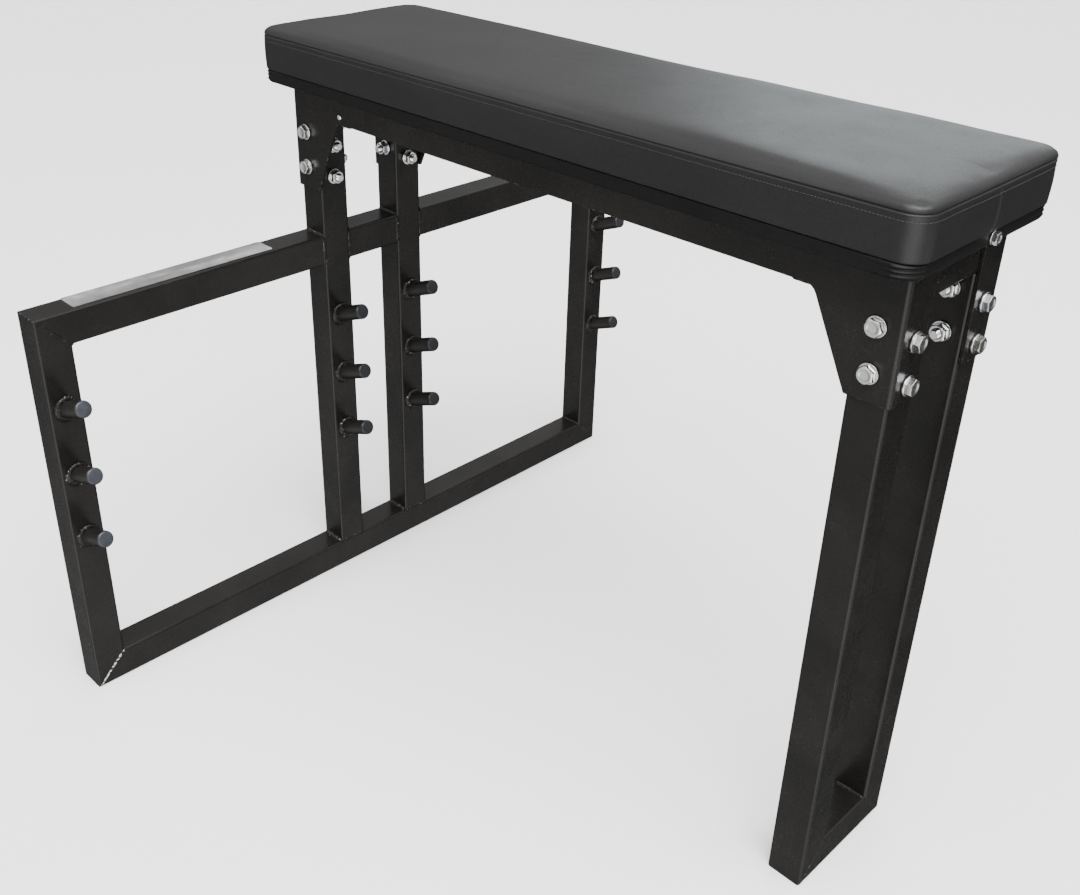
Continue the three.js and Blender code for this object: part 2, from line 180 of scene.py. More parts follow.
def paint(name, wear=0.35, edge_radius=0.9 * MM, bare=0.0, spec=0.18, rough=0.0, tone=1.0, end_wear_and_light=0.0):
    """Glossy black powder coat: orange peel, handling marks, dust and lightly worn edges.

    bare is the share of bare metal on a weld, and the last argument the level of a peg's end face: worn
    paint, lifted lighter and bluer by painted light.
    """
    graph = Graph(name)
    true_normal = graph.add("NewGeometry").outputs["True Normal"]
    peel = graph.noise(320, 2.0)
    waves = graph.noise(45, 2.0)
    height = graph.maths("MULTIPLY_ADD", waves, 1.4, peel)
    normal = graph.bump(height, 0.12 * MM, 0.25, graph.rounded(edge_radius))

    clouds = graph.span(graph.noise(7.0, 4.0, 0.6), 0.35, 0.7)
    # painted reflection: both levels carry a warm cast that stands in for warm surroundings mirrored in the
    # gloss
    dark, light = (level * tone for level in PAINT_BLACK)
    colour = graph.blend(clouds, grey(dark, 0.08), grey(light, 0.12))
    # a peg's end face turns lighter and bluer: partly worn paint in scrapes, partly painted light where the
    # lamp falls on the face
    if end_wear_and_light:
        ends = graph.span(graph.dot(true_normal, PEG_WAY), 0.35, 0.9)
        scrapes = graph.span(graph.noise(120, 4.0, 0.7), 0.3, 0.65, 0.4, 1.0)
        rubbed_and_lit = (end_wear_and_light * 0.86, end_wear_and_light * 0.95, end_wear_and_light * 1.2, 1.0)
        colour = graph.blend(graph.maths("MULTIPLY", ends, scrapes), colour, rubbed_and_lit)
    smudge = graph.noise(26, 5.0, 0.65)
    smooth, dull = (level + rough for level in PAINT_ROUGHNESS)
    roughness = graph.span(smudge, 0.35, 0.72, smooth, dull)

    specks = graph.maths("GREATER_THAN", graph.noise(900, 0.0), 0.79)
    patches = graph.span(graph.noise(14, 2.0), 0.5, 0.62)
    dust = graph.maths("MULTIPLY", specks, patches)
    colour = graph.blend(graph.maths("MULTIPLY", dust, 0.10), colour, grey(DUST))

    edges = edge_mask(graph, true_normal, 1.1 * MM)
    broken = graph.span(graph.noise(150, 4.0, 0.7), 0.53, 0.62)
    worn = graph.maths("MULTIPLY", graph.maths("MULTIPLY", edges, broken), wear)
    if bare:
        flakes = graph.span(graph.noise(210, 3.0, 0.6), 1 - bare, 1 - bare + 0.03)
        worn = graph.maths("MAXIMUM", worn, flakes)
    colour = graph.blend(worn, colour, grey(BARE_METAL, 0.01))
    roughness = graph.maths("MULTIPLY_ADD", dust, 0.3, roughness)
    return graph.finish(colour, roughness, normal, Specular_IOR_Level=spec, Coat_Roughness=0.10)


def zinc():
    """Bright zinc plate with a faint blue and straw cast, tumbled and scratched, with painted shade in its
    corners.
    """
    graph = Graph("zinc_plate")
    blue, straw = (0.70, 0.73, 0.78, 1), (0.78, 0.76, 0.70, 1)
    colour = graph.blend(graph.span(graph.noise(70, 3.0), 0.3, 0.7), blue, straw)
    stain = graph.span(graph.noise(240, 4.0, 0.7), 0.58, 0.75)
    colour = graph.blend(graph.maths("MULTIPLY", stain, 0.5), colour, grey(0.30, 0.04))
    # painted shade: the colour darkens where ambient occlusion finds corners and crevices
    painted_shade_ao = graph.add("AmbientOcclusion", {"samples": 8}, Distance=3 * MM).outputs["AO"]
    colour = graph.blend(graph.span(painted_shade_ao, 0.45, 0.85), grey(0.07, 0.04), colour)
    roughness = graph.span(graph.noise(420, 4.0, 0.7), 0.3, 0.7, 0.15, 0.30)
    normal = graph.bump(graph.noise(1300, 3.0, 0.7), 0.05 * MM, 0.35, graph.rounded(0.35 * MM))
    return graph.finish(colour, roughness, normal, Metallic=1.0)


def brushed_label():
    """Thin satin plate, brushed along its length."""
    graph = Graph("brushed_plate")
    lines = graph.noise(1.0, 3.0, 0.6, graph.stretched((2600, 26, 2600)))
    colour = graph.blend(graph.span(lines, 0.3, 0.7), grey(0.50), grey(0.72))
    roughness = graph.span(graph.noise(60, 4.0), 0.3, 0.7, 0.27, 0.42)
    normal = graph.bump(lines, 0.02 * MM, 0.5)
    return graph.finish(colour, roughness, normal, Metallic=1.0, Anisotropic=0.5)


def vinyl(name, grain=1.0, dark=1.0, spec=0.30):
    """Black upholstery vinyl: pressed leather grain with painted shade in its creases, soft sheen and faint
    wiping marks.
    """
    graph = Graph(name)
    warped = graph.add("VectorMath", {"operation": "MULTIPLY_ADD"})
    graph.feed(warped.inputs[0], graph.add("TexNoise", Vector=graph.place, Scale=160.0).outputs["Color"])
    graph.feed(warped.inputs[1], (1.6 * MM,) * 3)
    graph.feed(warped.inputs[2], graph.place)
    pebbles = graph.cells(780, "SMOOTH_F1", warped.outputs[0])
    creases = graph.cells(310, "DISTANCE_TO_EDGE", warped.outputs[0])
    height = graph.maths("MULTIPLY_ADD", graph.span(creases, 0.0, 0.12), 0.7, pebbles)
    normal = graph.bump(height, 0.11 * MM, 0.42 * grain)
    hand = graph.noise(11, 4.0, 0.6)
    normal = graph.bump(hand, 1.2 * MM, 0.10, normal)

    tone = graph.span(graph.noise(5, 4.0, 0.6), 0.3, 0.7)
    colour = graph.blend(tone, grey(0.0050 * dark, 0.0), grey(0.0080 * dark, 0.02))
    # painted shade: the colour darkens in the grain's creases
    in_creases = graph.span(creases, 0.0, 0.06)
    colour = graph.blend(in_creases, grey(0.003 * dark), colour)
    wiped = graph.span(graph.noise(16, 6.0, 0.65), 0.35, 0.7, 0.40, 0.45)
    roughness = graph.maths("MULTIPLY_ADD", graph.maths("SUBTRACT", 1.0, in_creases), 0.1, wiped)
    gloss = {"Specular_IOR_Level": spec, "Sheen_Weight": 0.01, "Sheen_Roughness": 0.4}
    return graph.finish(colour, roughness, normal, **gloss)


def dust_cloth():
    """Non-woven black lining under the base board."""
    graph = Graph("lining_cloth")
    fibres = graph.noise(1900, 4.0, 0.8)
    colour = graph.blend(fibres, grey(0.006), grey(0.03))
    dimples = graph.cells(330, "F1", randomness=0.15)
    height = graph.maths("ADD", dimples, fibres)
    return graph.finish(colour, 0.9, graph.bump(height, 0.25 * MM, 0.6), Specular_IOR_Level=0.2)


def thread():
    """Twisted black nylon sewing thread."""
    graph = Graph("sewing_thread")
    twist = graph.add("TexWave", {"bands_direction": "DIAGONAL"}, Vector=graph.place, Scale=900.0)
    colour = graph.blend(twist.outputs["Fac"], grey(0.006), grey(0.02))
    return graph.finish(colour, 0.5, graph.bump(twist.outputs["Fac"], 0.1 * MM, 0.6), Sheen_Weight=0.05)


def pale_floor():
    graph = Graph("floor_surface")
    colour = graph.blend(graph.noise(0.8, 3.0), grey(0.88), grey(0.91))
    normal = graph.bump(graph.noise(60, 3.0), 0.1 * MM, 0.2)
    return graph.finish(colour, 0.7, normal, Specular_IOR_Level=0.1)


FRAME_PAINT = paint("black_powder_coat")
PEG = {"wear": 0.5, "edge_radius": 0.6 * MM, "rough": 0.08}
PEG_PAINT = paint("peg_powder_coat", spec=0.30, tone=1.1, end_wear_and_light=0.014, **PEG)
# a lighter, bluer copy of the peg coat for the outer left pegs: painted light, where the lamp falls on them
LIT_OUTER_PEG_PAINT = paint("lit_outer_peg_coat", spec=0.35, tone=1.3, end_wear_and_light=0.034, **PEG)
WELD_PAINT = paint("weld_powder_coat", wear=0.3, edge_radius=0.3 * MM, bare=0.34)
SEAM_PAINT = paint("seam_powder_coat", wear=0.2, edge_radius=0.3 * MM, bare=0.22)
CHIPPED_PAINT = paint("chipped_powder_coat", wear=0.6, edge_radius=0.2 * MM, bare=0.52)
ZINC = zinc()
LABEL = brushed_label()
VINYL = vinyl("black_vinyl")
# a darker copy of the cushion's vinyl: painted shade for the board beneath the cushion's edge
WRAP = vinyl("wrapped_vinyl", grain=0.8, dark=0.65, spec=0.12)
LINING = dust_cloth()
THREAD = thread()


# ---- studio
FLOOR_HALF = 15.0


def area_light(name, place, target, size, watts, colour=(1, 1, 1)):
    data = bpy.data.lights.new(name, "AREA")
    data.shape = "RECTANGLE"
    data.size, data.size_y = size
    data.energy = watts
    data.color = colour
    light = bpy.data.objects.new(name, data)
    light.location = place
    light.rotation_euler = (Vector(target) - Vector(place)).to_track_quat("-Z", "Y").to_euler()
    scene.collection.objects.link(light)


WORLD_STRENGTH = 2.2
# direction, cosines of the angles at which a patch starts and is full, strength
WORLD_PATCHES = (
    ((0.66, -0.66, -0.36), 0.80, 0.95, 1.8),      # catches the tubes' rounded upright edges
    ((-0.33, -0.82, -0.47), 0.70, 0.95, 0.28),    # lights the faces along the bench
    ((0.80, 0.31, -0.52), 0.86, 0.98, 0.46),      # lights the rack frame's faces towards the legs
    ((0.34, 0.86, -0.38), 0.78, 0.96, -0.10),     # darkens the end of the pad and of the leg frame
    ((0.42, -0.05, 0.90), 0.90, 0.985, 4.5),      # a lamp that glints on the pad's front corner
)


def make_world():
    """A soft dome, brightest overhead and dim low down, with patches that are lighter or darker."""
    world = bpy.data.worlds.new("studio")
    world.use_nodes = True
    tree = world.node_tree
    background = tree.nodes["Background"]
    background.inputs["Strength"].default_value = WORLD_STRENGTH

    def add(kind, *values, operation=None):
        """A node whose first inputs, in their order, are the values."""
        node = tree.nodes.new("ShaderNode" + kind)
        if operation:
            node.operation = operation
        for socket, value in zip(node.inputs, values):
            if isinstance(value, bpy.types.NodeSocket):
                tree.links.new(value, socket)
            else:
                socket.default_value = value
        return node.outputs

    direction = add("TexCoord")["Generated"]
    x, _, z = add("SeparateXYZ", direction)
    dome = add("MapRange", z, 0.10, 0.75, 0.13, 1.0)[0]
    # less light from behind the rack frame, so that the pad darkens towards that end
    shade = add("MapRange", x, -0.85, -0.25, 0.40, 1.0)[0]
    level = add("Math", dome, shade, operation="MULTIPLY")[0]
    for way, start, full, strength in WORLD_PATCHES:
        toward = add("VectorMath", direction, Vector(way).normalized(), operation="DOT_PRODUCT")["Value"]
        patch = add("MapRange", toward, start, full, 0.0, strength)[0]
        level = add("Math", level, patch, operation="ADD")[0]
    tree.links.new(level, background.inputs["Color"])
    scene.world = world


def make_studio():
    make_world()
    middle = (0, 0, 0.6)
    area_light("key", (1.0, -1.4, 3.4), middle, (2.2, 2.2), 145)
    area_light("fill", (-2.6, -2.2, 2.0), middle, (2.0, 2.0), 12)
    area_light("sheen", (-1.1, 3.2, 1.95), (0.35, 0, 0.95), (1.7, 0.9), 20, (0.86, 0.95, 1.0))

    floor = bpy.data.meshes.new("floor")
    corners = [(x * FLOOR_HALF, y * FLOOR_HALF, 0) for x, y in ((-1, -1), (1, -1), (1, 1), (-1, 1))]
    floor.from_pydata(corners, [], [(0, 1, 2, 3)])
    floor.materials.append(pale_floor())
    floor_object = bpy.data.objects.new("floor", floor)
    floor_object.visible_glossy = False     # the gloss shows the dome, not a white floor
    scene.collection.objects.link(floor_object)


make_studio()


# ---- mesh helpers
class Shape:
    """Vertices and faces of a piece under construction."""

    def __init__(self):
        self.points = []
        self.faces = []

    def rings(self, rings, closed=False):
        """Skins rings of equal count. Closed joins the last one to the first, else both are capped."""
        start, count = len(self.points), len(rings[0])
        for ring in rings:
            self.points.extend(ring)
        spans = len(rings) if closed else len(rings) - 1
        for i in range(spans):
            low, high = start + i * count, start + ((i + 1) % len(rings)) * count
            for j in range(count):
                k = (j + 1) % count
                self.faces.append((low + j, low + k, high + k, high + j))
        if not closed:
            self.faces.append(tuple(start + j for j in reversed(range(count))))
            last = start + (len(rings) - 1) * count
            self.faces.append(tuple(last + j for j in range(count)))

    def piece(self, name, material, slot, sharp=35):
        mesh = bpy.data.meshes.new(name)
        mesh.from_pydata([tuple(p) for p in self.points], [], self.faces)
        mesh.materials.append(material)
        mesh.shade_smooth()
        mesh.set_sharp_from_angle(angle=radians(sharp))
        made = bpy.data.objects.new(name, mesh)
        scene.collection.objects.link(made)
        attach(made, "root")
        return made


def circle(radius, height, count, matrix):
    """A ring of points about the matrix's z axis, counter-clockwise."""
    ring = []
    for i in range(count):
        angle = FULL_TURN * i / count
        point = Vector((radius * cos(angle), radius * sin(angle), height))
        ring.append(matrix @ point)
    return ring


def lathe(shape, profile, matrix, count=48):
    """A turned body from (radius, height) pairs about the matrix's z axis."""
    shape.rings([circle(radius, height, count, matrix) for radius, height in profile])


def axis_frame(origin, along, turn=0.0):
    """A matrix at origin whose z axis points along, turned about it."""
    rotation = Vector(along).to_track_quat("Z", "Y").to_matrix().to_4x4()
    return Matrix.Translation(origin) @ rotation @ Matrix.Rotation(turn, 4, "Z")


# ---- bolts, nuts, washers and screws
HEX_SAMPLES = 48
SIXTH = pi / 3
CHAMFER_SLOPE = tan(radians(30))
TURNED = 0.475          # radius of a head's round face, as a share of its width over the flats
DISH = ((0.45, 0.9), (0.62, 0.7), (0.74, 0.12), (0.80, 0.0), (1.0, 0.0))    # share of it, depth in mm
GAP = 0.3 * MM


def in_mm(**sizes):
    return {key: value * MM for key, value in sizes.items()}


BOLT = in_mm(shank=6, flats=18.5, head=7.5, nut=10, rim=12, washer=2.5, past=6, pitch=1.75)
SCREW = in_mm(shank=4, flats=13, head=5.5, rim=8, washer=1.6, point=1, taper=3)
SMALL = in_mm(shank=2.5, rim=4.5, head=3, flats=8, nut=4, past=3)     # the screw in a side plate
BOLT_TURN, NUT_TURN, SCREW_TURN, HEX_REPEAT = 37, 23, 41, 60          # degrees


def hex_ring(flats, height, matrix, dropped=0.0):
    """A hexagonal ring; dropped is the sign with which its corners fall away in a chamfer."""
    ring = []
    for i in range(HEX_SAMPLES):
        angle = FULL_TURN * i / HEX_SAMPLES
        radius = flats / 2 / cos((angle + SIXTH / 2) % SIXTH - SIXTH / 2)
        drop = (radius - TURNED * flats) * CHAMFER_SLOPE * dropped
        ring.append(matrix @ Vector((radius * cos(angle), radius * sin(angle), height - drop)))
    return ring


def hex_head(shape, matrix, flats, low, high):
    """A bolt head between two heights, low being its outer face, lightly dished inside a turned rim."""
    dish = [circle(share * TURNED * flats, low + depth * MM, HEX_SAMPLES, matrix) for share, depth in DISH]
    shape.rings(dish + [hex_ring(flats, low, matrix, -1), hex_ring(flats, high, matrix)])


def hex_nut(shape, matrix, flats, bore, low, high):
    turned, ease = TURNED * flats, 0.7 * MM
    shape.rings([
        circle(bore, low, HEX_SAMPLES, matrix),
        circle(turned, low, HEX_SAMPLES, matrix),
        hex_ring(flats, low, matrix, -1),
        hex_ring(flats, high, matrix, 1),
        circle(turned, high, HEX_SAMPLES, matrix),
        circle(bore + ease, high, HEX_SAMPLES, matrix),
        circle(bore, high - ease, HEX_SAMPLES, matrix),
    ])


def washer(shape, matrix, bore, rim, low, high):
    ease = 0.3 * MM
    half = [(bore, 0), (rim - ease, 0), (rim - 0.3 * ease, 0.3 * ease), (rim, ease)]
    profile = [(radius, low + rise) for radius, rise in half]
    profile += [(radius, high - rise) for radius, rise in reversed(half)]
    shape.rings([circle(radius, height, HEX_SAMPLES, matrix) for radius, height in profile], closed=True)


def threaded(shape, matrix, radius, pitch, low, high):
    """The end of a bolt: a single-start thread that runs out in a short chamfer."""
    depth, steps, count = 0.55 * pitch, 7, 24
    total = int((high - low) / pitch * steps)
    rings = []
    for i in range(total + 1):
        height = low + (high - low) * i / total
        ring = []
        for j in range(count):
            phase = (height / pitch - j / count) % 1
            cut = depth * abs(2 * phase - 1) ** 1.3
            here = min(radius - cut, radius - 1.2 * MM + (high - height))
            angle = FULL_TURN * j / count
            ring.append(matrix @ Vector((here * cos(angle), here * sin(angle), height)))
        rings.append(ring)
    shape.rings(rings)


def make_bolt(index, name):
    low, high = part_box(name)
    size = high - low
    axis = max(range(3), key=lambda k: size[k])
    middle = (low + high) / 2
    sign = 1 if middle[axis] > 0 else -1
    shank, flats, rim = BOLT["shank"], BOLT["flats"], BOLT["rim"]
    stack = GAP + BOLT["washer"] + BOLT["head"]
    origin = middle.copy()
    origin[axis] = (high[axis] if sign > 0 else low[axis]) - sign * stack
    inward = Vector((0, 0, 0))
    inward[axis] = -sign
    past_face = BOLT["washer"] + BOLT["nut"] + BOLT["past"] + GAP
    grip = size[axis] - stack - past_face
    matrix = axis_frame(origin, inward, radians(BOLT_TURN * index % HEX_REPEAT))
    nut_turn = matrix @ Matrix.Rotation(radians(NUT_TURN * index % HEX_REPEAT), 4, "Z")
    under = -GAP - BOLT["washer"]
    nut_face = grip + GAP + BOLT["washer"]
    tip = nut_face + BOLT["nut"] + BOLT["past"]
    bore = shank + 0.4 * MM
    shape = Shape()
    hex_head(shape, matrix, flats, under - BOLT["head"], under)
    washer(shape, matrix, bore, rim, under, -GAP)
    lathe(shape, [(shank, under), (shank, nut_face)], matrix, 24)
    washer(shape, matrix, bore, rim, grip + GAP, nut_face)
    hex_nut(shape, nut_turn, flats, shank, nut_face, nut_face + BOLT["nut"])
    threaded(shape, matrix, shank, BOLT["pitch"], nut_face, tip)
    made = shape.piece("detail_" + name, ZINC, "zinc_fastener", sharp=24)
    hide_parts(name)


def make_screw(index, name):
    """A hex screw, pointing up under the pad or back into the pad's front edge."""
    low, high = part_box(name)
    middle = (low + high) / 2
    stack = GAP + SCREW["washer"] + SCREW["head"]
    if name.startswith("pad_end"):
        matrix = axis_frame((high.x - stack, middle.y, middle.z), (-1, 0, 0), 0.3)
        depth = high.x - low.x - stack
    else:
        turn = radians(SCREW_TURN * index)
        matrix = axis_frame((middle.x, middle.y, low.z + stack), (0, 0, 1), turn)
        depth = high.z - low.z - stack
    face = -GAP - SCREW["washer"]
    shape = Shape()
    hex_head(shape, matrix, SCREW["flats"], face - SCREW["head"], face)
    washer(shape, matrix, SCREW["shank"] + 0.3 * MM, SCREW["rim"], face, -GAP)
    shank = SCREW["shank"]
    lathe(shape, [(shank, face), (shank, depth - SCREW["taper"]), (SCREW["point"], depth)], matrix, 24)
    made = shape.piece("detail_" + name, ZINC, "zinc_fastener", sharp=24)
    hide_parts(name)


def make_plate_screw(name):
    """A small domed screw with a round recess, and its nut inside."""
    low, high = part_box(name)
    middle = (low + high) / 2
    sign = 1 if middle.y > 0 else -1
    outer = high.y if sign > 0 else low.y
    matrix = axis_frame((middle.x, outer, middle.z), (0, -sign, 0), 0.4)
    total, head, shank = high.y - low.y, SMALL["head"], SMALL["shank"]
    shape = Shape()
    profile = [(0.8 * MM, 1.1 * MM), (1.3 * MM, 0.15 * MM)]
    for i in range(7):
        angle = radians(25 + 65 * i / 6)
        profile.append((SMALL["rim"] * sin(angle), head * (1 - cos(angle)) * 0.93))
    profile.append((SMALL["rim"], head))
    lathe(shape, profile, matrix)
    lathe(shape, [(shank, head), (shank, total)], matrix, 24)
    nut_face = total - SMALL["nut"] - SMALL["past"]
    hex_nut(shape, matrix, SMALL["flats"], shank, nut_face, nut_face + SMALL["nut"])
    made = shape.piece("detail_" + name, ZINC, "zinc_fastener", sharp=30)
    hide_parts(name)


node_names = sorted(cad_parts)
for index, name in enumerate(node_names):
    if name.startswith(("side_bolt", "end_bolt")):
        make_bolt(index, name)
    elif name.startswith(("pad_screw", "pad_end_bolt")):
        make_screw(index, name)
    elif name.startswith("plate_screw"):
        make_plate_screw(name)


# ---- pegs
PEG_RADIUS = 12.5 * MM
PEG_LENGTH = 64 * MM
PEG_ROUND = 3.2 * MM
PEG_SIDES = 48


def peg_root(name):
    """Where a peg's axis meets the face of its tube."""
    low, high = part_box(name)
    return Vector((low.x, (low.y + high.y) / 2, low.z + PEG_RADIUS / cos(PEG_TILT)))


def make_peg(name):
    root = peg_root(name)
    along = Vector(PEG_WAY)
    matrix = axis_frame(root, along)
    root_ring = circle(PEG_RADIUS, 0, PEG_SIDES, matrix)
    rings = [[point + along * ((root.x - point.x) / along.x) for point in root_ring]]
    rings += [circle(PEG_RADIUS, PEG_LENGTH * share, PEG_SIDES, matrix) for share in (0.3, 0.6, 0.9)]
    for i in range(6):
        angle = radians(18 * i)
        radius = PEG_RADIUS - PEG_ROUND * (1 - cos(angle))
        rings.append(circle(radius, PEG_LENGTH - PEG_ROUND * (1 - sin(angle)), PEG_SIDES, matrix))
    rings.append(circle(0.35 * PEG_RADIUS, PEG_LENGTH + 0.2 * MM, PEG_SIDES, matrix))
    shape = Shape()
    shape.rings(rings)
    # the outer left pegs take the lighter copy of the coat: painted light
    coat = LIT_OUTER_PEG_PAINT if name.startswith("peg_outer_left") else PEG_PAINT
    made = shape.piece("round_" + name, coat, "black_paint", sharp=40)
    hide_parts(name)


# ---- weld beads
BEAD_STEP = 1.1 * MM
BEAD_SAMPLES = 9
RIPPLE = 3.6 * MM
FILLET_ARCH, FILLET_SUNK = 1.25, 0.4
PEG_BEAD = (6.3 * MM, 5.4 * MM)         # the legs of a bead round a peg, on the tube and on the peg


def bead(shape, start, end, first, second, leg, seed):
    """A fillet from start to end. The directions first and second leave the joint along its two faces."""
    start, end, first, second = (Vector(value) for value in (start, end, first, second))
    length = (end - start).length
    bead_path(
        shape, lambda t: start.lerp(end, t), lambda t: (first, second), length, (leg, leg), seed,
        FILLET_ARCH, FILLET_SUNK
    )


def bead_path(shape, place, sides, length, legs, seed, arch, sunk, closed=False):
    steps = max(4, int(length / BEAD_STEP))
    rings = []
    for i in range(steps if closed else steps + 1):
        t = i / steps
        here, (first, second) = place(t), sides(t)
        ahead = (place(min(1, t + 0.01)) - place(max(0, t - 0.01))).normalized()
        run = t * length
        wander = noise.noise(Vector((run * 60, seed * 7.3, 0)))
        ripple = abs(sin(pi * run / RIPPLE + wander * 2))
        scale = 1 + 0.16 * wander + 0.13 * (ripple - 0.6)
        if not closed:
            near = min(run, length - run) / (3.2 * MM)
            scale *= min(1, 0.45 + 0.55 * sqrt(max(0, near)))
        ring = []
        for j in range(BEAD_SAMPLES):
            angle = pi / 2 * j / (BEAD_SAMPLES - 1)
            out = cos(angle) ** arch * legs[0] * first + sin(angle) ** arch * legs[1] * second
            lean = ahead * (sin(2 * angle) * RIPPLE * 0.35)
            ring.append(here + out * scale + lean)
        ring.append(here - (first * legs[0] + second * legs[1]) * 0.15 * sunk)
        rings.append(ring)
    shape.rings(rings, closed=closed)


def flat_bead(shape, start, end, across, normal, wide, high, seed):
    """A nearly flush bead over a butt joint, as left by grinding."""
    start, end, across, normal = (Vector(value) for value in (start, end, across, normal))
    length = (end - start).length
    steps = max(4, int(length / BEAD_STEP))
    rings = []
    for i in range(steps + 1):
        t = i / steps
        run = t * length
        wander = noise.noise(Vector((run * 45, seed * 3.1, 4)))
        ripple = abs(sin(pi * run / RIPPLE + wander * 3))
        near = min(1.0, 0.35 + min(run, length - run) / (3 * MM))
        half = wide * (1 + 0.22 * wander) * near
        rise = high * (0.7 + 0.5 * ripple + 0.5 * wander) * near
        here = start.lerp(end, t) + across * (wander * 0.5 * MM)
        ring = []
        for j in range(7):
            angle = pi * j / 6
            ring.append(here + across * (half * cos(angle)) + normal * (rise * sin(angle)))
        ring.append(here - normal * 0.3 * MM)
        rings.append(ring)
    shape.rings(rings)


def ring_bead(shape, name, seed):
    """The lumpy bead round a peg's root."""
    root = peg_root(name)
    stretch = 1 / cos(PEG_TILT)
    face = Vector((1, 0, 0))

    def radial(t):
        angle = FULL_TURN * t
        return Vector((0, cos(angle), sin(angle)))

    def place(t):
        out = radial(t)
        return root + Vector((-GAP, out.y * PEG_RADIUS, out.z * PEG_RADIUS * stretch))

    def sides(t):
        out = radial(t)
        return out, (face + Vector((0, 0, tan(PEG_TILT)))).normalized()

    bead_path(shape, place, sides, FULL_TURN * PEG_RADIUS, PEG_BEAD, seed, 1.0, 1.0, closed=True)


TUBE = 50 * MM
HALF_TUBE = TUBE / 2
TUBE_CORNER = 4 * MM
FLAT_HALF = HALF_TUBE - TUBE_CORNER * 0.8       # half the length of a bead across a tube's face
LARGE_LEG, SMALL_LEG = 5.0 * MM, 3.6 * MM
X_AXIS, Y_AXIS, Z_AXIS = Vector((1, 0, 0)), Vector((0, 1, 0)), Vector((0, 0, 1))
rail_low, rail_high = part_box("rack_bottom_rail")
foot_low, foot_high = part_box("leg_foot_rail")
inner_low, inner_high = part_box("rack_inner_upright_right")
RACK_X, RACK_Y = (rail_low.x + rail_high.x) / 2, rail_high.y
RACK_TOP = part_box("rack_top_rail_left")[1].z
LEG_X, LEG_Y = (foot_low.x + foot_high.x) / 2, foot_high.y
RACK_SEED, CORNER_SEED, SEAT_SEED = 1, 6, 12    # where the beads' random draws start


def weld_uprights():
    """The inner uprights on the bottom rail, and the upper rail's lengths against them."""
    shape = Shape()
    seed = RACK_SEED
    ends = 3 * MM
    under = RACK_TOP - TUBE
    for side in (-1, 1):
        out = Y_AXIS * side
        for y, away in ((inner_high.y * side, out), (inner_low.y * side, -out)):
            low_x, high_x = RACK_X - FLAT_HALF, RACK_X + FLAT_HALF
            bead(shape, (low_x, y, TUBE), (high_x, y, TUBE), away, Z_AXIS, LARGE_LEG, seed)
            for z, up in ((RACK_TOP, Z_AXIS), (under, -Z_AXIS)):
                bead(shape, (low_x, y, z), (high_x, y, z), away, up, SMALL_LEG, seed + 40)
            for face in (-1, 1):
                x = RACK_X + face * HALF_TUBE
                start, end = (x, y, under + ends), (x, y, RACK_TOP - ends)
                flat_bead(shape, start, end, Y_AXIS, X_AXIS * face, 2.6 * MM, 0.75 * MM, seed + 9 * face)
            seed += 1
        for face in (-1, 1):
            x = RACK_X + face * HALF_TUBE
            low_y, high_y = sorted((inner_low.y * side, inner_high.y * side))
            start, end = (x, low_y + ends, TUBE), (x, high_y - ends, TUBE)
            flat_bead(shape, start, end, Z_AXIS, X_AXIS * face, 2.4 * MM, 0.7 * MM, seed + 70 * face)
    shape.piece("welds_rack_uprights", WELD_PAINT, "black_paint", sharp=60)


def weld_corners():
    """The mitres of both frames. The one at the rack's lower left corner has lost its paint in front."""
    corners, chipped = Shape(), Shape()
    trim = 4.2 * MM
    mitres = [
        (RACK_X, RACK_Y, 0, 1, True), (RACK_X, RACK_Y, RACK_TOP, -1, False), (LEG_X, LEG_Y, 0, 1, False),
    ]
    seed = CORNER_SEED
    for x, y, z, up, rack_foot in mitres:
        for side in (-1, 1):
            inner_y, inner_z = (y - TUBE) * side, z + up * TUBE
            start, end = (x - FLAT_HALF, inner_y, inner_z), (x + FLAT_HALF, inner_y, inner_z)
            bead(corners, start, end, Y_AXIS * -side, Z_AXIS * up, SMALL_LEG, seed)
            diagonal = Vector((0, -side, up)).normalized()
            across = Vector((0, side, up)).normalized()
            for face in (-1, 1):
                face_x = x + face * HALF_TUBE
                start = Vector((face_x, y * side, z)) + diagonal * trim
                end = Vector((face_x, inner_y, inner_z)) - diagonal * trim * 0.3
                worn = rack_foot and side < 0 and face > 0
                seam, wide = (chipped, 1.7 * MM) if worn else (corners, 2.0 * MM)
                flat_bead(seam, start, end, across, X_AXIS * face, wide, 0.4 * MM, seed + face)
            seed += 1
    corners.piece("welds_frame_corners", SEAM_PAINT, "black_paint", sharp=60)
    chipped.piece("weld_chipped_corner", CHIPPED_PAINT, "black_paint", sharp=60)


def make_pegs():
    shape = Shape()
    for index, name in enumerate(node_names):
        if name.startswith("peg_"):
            make_peg(name)
            ring_bead(shape, name, index)
    shape.piece("welds_pegs", WELD_PAINT, "black_paint", sharp=70)


def weld_seat():
    """The middle cross members between the side plates."""
    shape = Shape()
    inner_face = inner_high.y + GAP
    seed = SEAT_SEED
    for name in ("seat_cross_member_mid_1", "seat_cross_member_mid_2"):
        low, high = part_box(name)
        for side in (-1, 1):
            y, away = inner_face * side, Y_AXIS * -side
            start, end = (low.x + TUBE_CORNER, y, low.z), (high.x - TUBE_CORNER, y, low.z)
            bead(shape, start, end, away, -Z_AXIS, SMALL_LEG, seed)
            for x, out in ((low.x, -X_AXIS), (high.x, X_AXIS)):
                start, end = (x, y, low.z + TUBE_CORNER), (x, y, high.z - 2 * TUBE_CORNER)
                bead(shape, start, end, away, out, SMALL_LEG, seed + 20)
            seed += 1
    shape.piece("welds_seat_frame", WELD_PAINT, "black_paint", sharp=60)


weld_uprights()
weld_corners()
make_pegs()
weld_seat()


